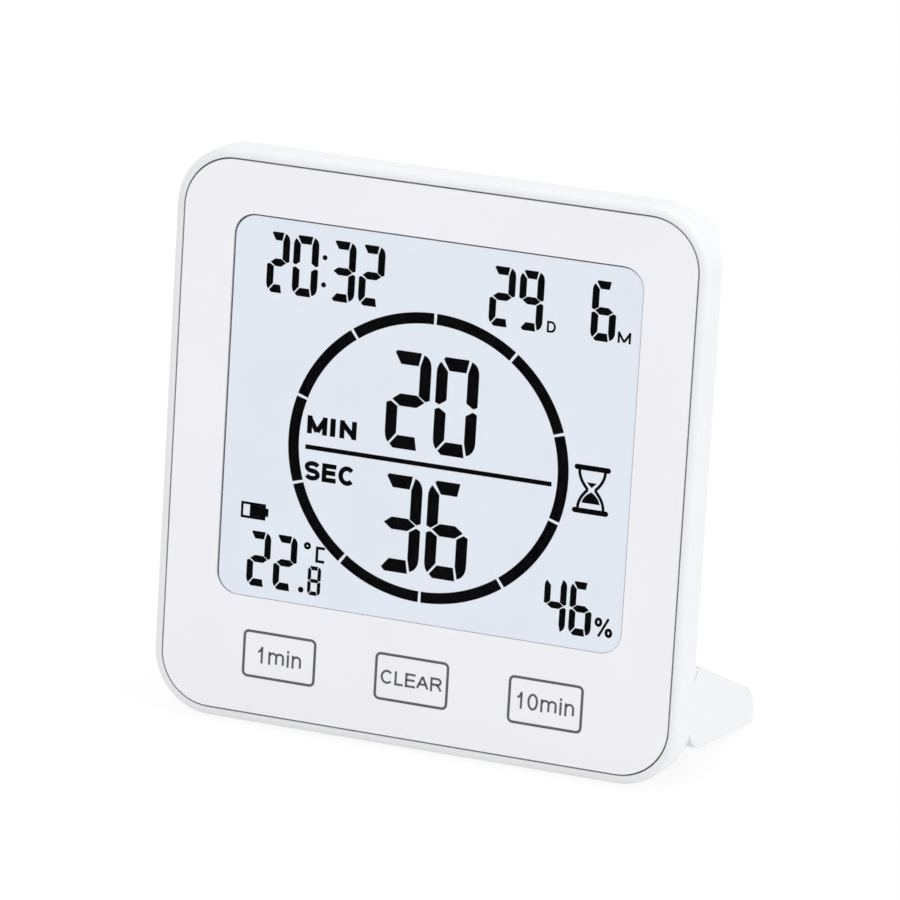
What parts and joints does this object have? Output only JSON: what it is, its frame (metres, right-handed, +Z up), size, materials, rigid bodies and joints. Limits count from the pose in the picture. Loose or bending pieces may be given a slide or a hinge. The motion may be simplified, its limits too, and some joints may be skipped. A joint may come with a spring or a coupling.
{
  "type": "thermo-hygrometer",
  "caption": "Desk thermo-hygrometer with clock and timer display in a square case, touch keys on the front and a fold-out stand at the back.",
  "frame": {"origin": "middle of the bounding box at table height, as the instrument stands open on its stand", "axes": "+Z up, -Y towards the viewer of the display, +X to the right as seen from the front; the case leans back five degrees"},
  "size_m": [0.08, 0.0338, 0.0826],
  "materials": {
    "case_plastic": "fine satin moulded ABS",
    "panel_plastic": "smooth satin printed panel",
    "window_pane": "clear polished acrylic",
    "foam_tape": "thin foam tape",
    "polariser_film": "clear grey film",
    "display_glass": "display glass with printed segments",
    "reflector_foil": "matt reflective foil",
    "holder_plastic": "moulded white plastic",
    "conductive_rubber": "conductive rubber",
    "board_laminate": "green glass laminate with solder mask",
    "chip_resin": "black epoxy resin",
    "plated_steel": "nickel plated spring steel",
    "chip_ceramic": "ceramic chip parts",
    "black_plastic": "moulded black plastic",
    "sensor_plastic": "white sensor housing",
    "battery_jacket": "printed battery jacket",
    "screen_fabric": "fine woven mesh",
    "screw_steel": "zinc plated steel",
    "button_plastic": "moulded grey buttons"
  },
  "bodies": {
    "case": {"front_shell": "case_plastic", "face_plate": "panel_plastic", "display_window": "window_pane", "panel_tape": "foam_tape", "front_polarizer": "polariser_film", "lcd_front_glass": "display_glass", "lcd_rear_glass": "display_glass", "reflector_sheet": "reflector_foil", "lcd_holder": "holder_plastic", "zebra_strip": "conductive_rubber", "touch_pads": "conductive_rubber", "main_board": "board_laminate", "controller_chip": "chip_resin", "clock_crystal": "plated_steel", "chip_parts": "chip_ceramic", "tact_switches": "black_plastic", "humidity_sensor": "sensor_plastic", "buzzer": "black_plastic", "rear_cover": "case_plastic", "battery_lower": "battery_jacket", "battery_upper": "battery_jacket", "contact_springs": "plated_steel", "contact_link": "plated_steel", "contact_plates": "plated_steel", "vent_screens": "screen_fabric", "case_screws": "screw_steel", "board_screws": "screw_steel", "stand_pins": "screw_steel"},
    "stand": {"stand": "case_plastic"},
    "battery_door": {"battery_door": "case_plastic"},
    "button_mode": {"button_mode": "button_plastic"},
    "button_up": {"button_up": "button_plastic"},
    "button_down": {"button_down": "button_plastic"},
    "button_unit": {"button_unit": "button_plastic"}
  },
  "joints": [
    {"name": "stand_fold", "type": "hinge", "parent": "case", "child": "stand", "pos_m": [0, -0.00362, 0.00964], "axis": [1, 0, 0], "range_deg": [0, 93.6]},
    {"name": "battery_door_open", "type": "hinge", "parent": "case", "child": "battery_door", "pos_m": [0, 0.00388, 0.04442], "axis": [-1, 0, 0], "range_deg": [0, 95]},
    {"name": "button_mode_press", "type": "slide", "parent": "case", "child": "button_mode", "axis": [0, -0.9962, 0.0872], "range_m": [0, 0.0005], "stiffness_N_per_m": 2500, "springref_m": -0.0001},
    {"name": "button_up_press", "type": "slide", "parent": "case", "child": "button_up", "axis": [0, -0.9962, 0.0872], "range_m": [0, 0.0005], "stiffness_N_per_m": 2500, "springref_m": -0.0001},
    {"name": "button_down_press", "type": "slide", "parent": "case", "child": "button_down", "axis": [0, -0.9962, 0.0872], "range_m": [0, 0.0005], "stiffness_N_per_m": 2500, "springref_m": -0.0001},
    {"name": "button_unit_press", "type": "slide", "parent": "case", "child": "button_unit", "axis": [0, -0.9962, 0.0872], "range_m": [0, 0.0005], "stiffness_N_per_m": 2500, "springref_m": -0.0001}
  ]
}
